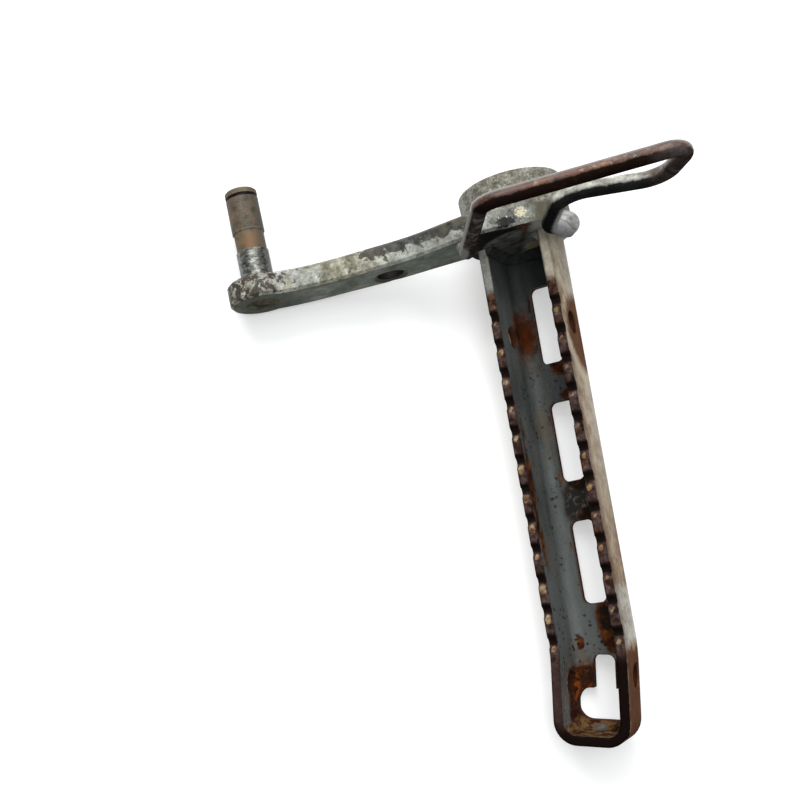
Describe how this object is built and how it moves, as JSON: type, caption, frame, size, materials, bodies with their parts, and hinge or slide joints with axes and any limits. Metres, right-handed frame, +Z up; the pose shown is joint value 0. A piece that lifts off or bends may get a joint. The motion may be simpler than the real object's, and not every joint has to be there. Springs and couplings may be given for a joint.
{
  "type": "footpeg",
  "caption": "Rusty footpeg: a pressed trough tread with serrated rims, welded to a forged lever arm with a pivot pin at one end and a bent-rod boot guard at the other.",
  "frame": {"origin": "on the pivot pin's axis where the pin leaves the arm's far face", "axes": "+X from the pin along the arm to the boss, +Y along the pin towards its free end, +Z up as the part lies on a floor"},
  "size_m": [0.1552, 0.2225, 0.0951],
  "materials": {
    "arm_paint": "chipped silver paint over forged steel",
    "pin_steel": "worn turned steel with rust",
    "tread_paint": "worn silver paint with rust",
    "weld_bead": "painted weld, rust at its edges",
    "guard_rust": "rusted steel with remains of silver paint"
  },
  "bodies": {
    "root": {"arm": "arm_paint", "pivot_pin": "pin_steel", "tread": "tread_paint", "tread_weld": "weld_bead", "boot_guard": "guard_rust", "guard_weld_arm": "weld_bead", "guard_weld_boss": "weld_bead"}
  },
  "joints": []
}
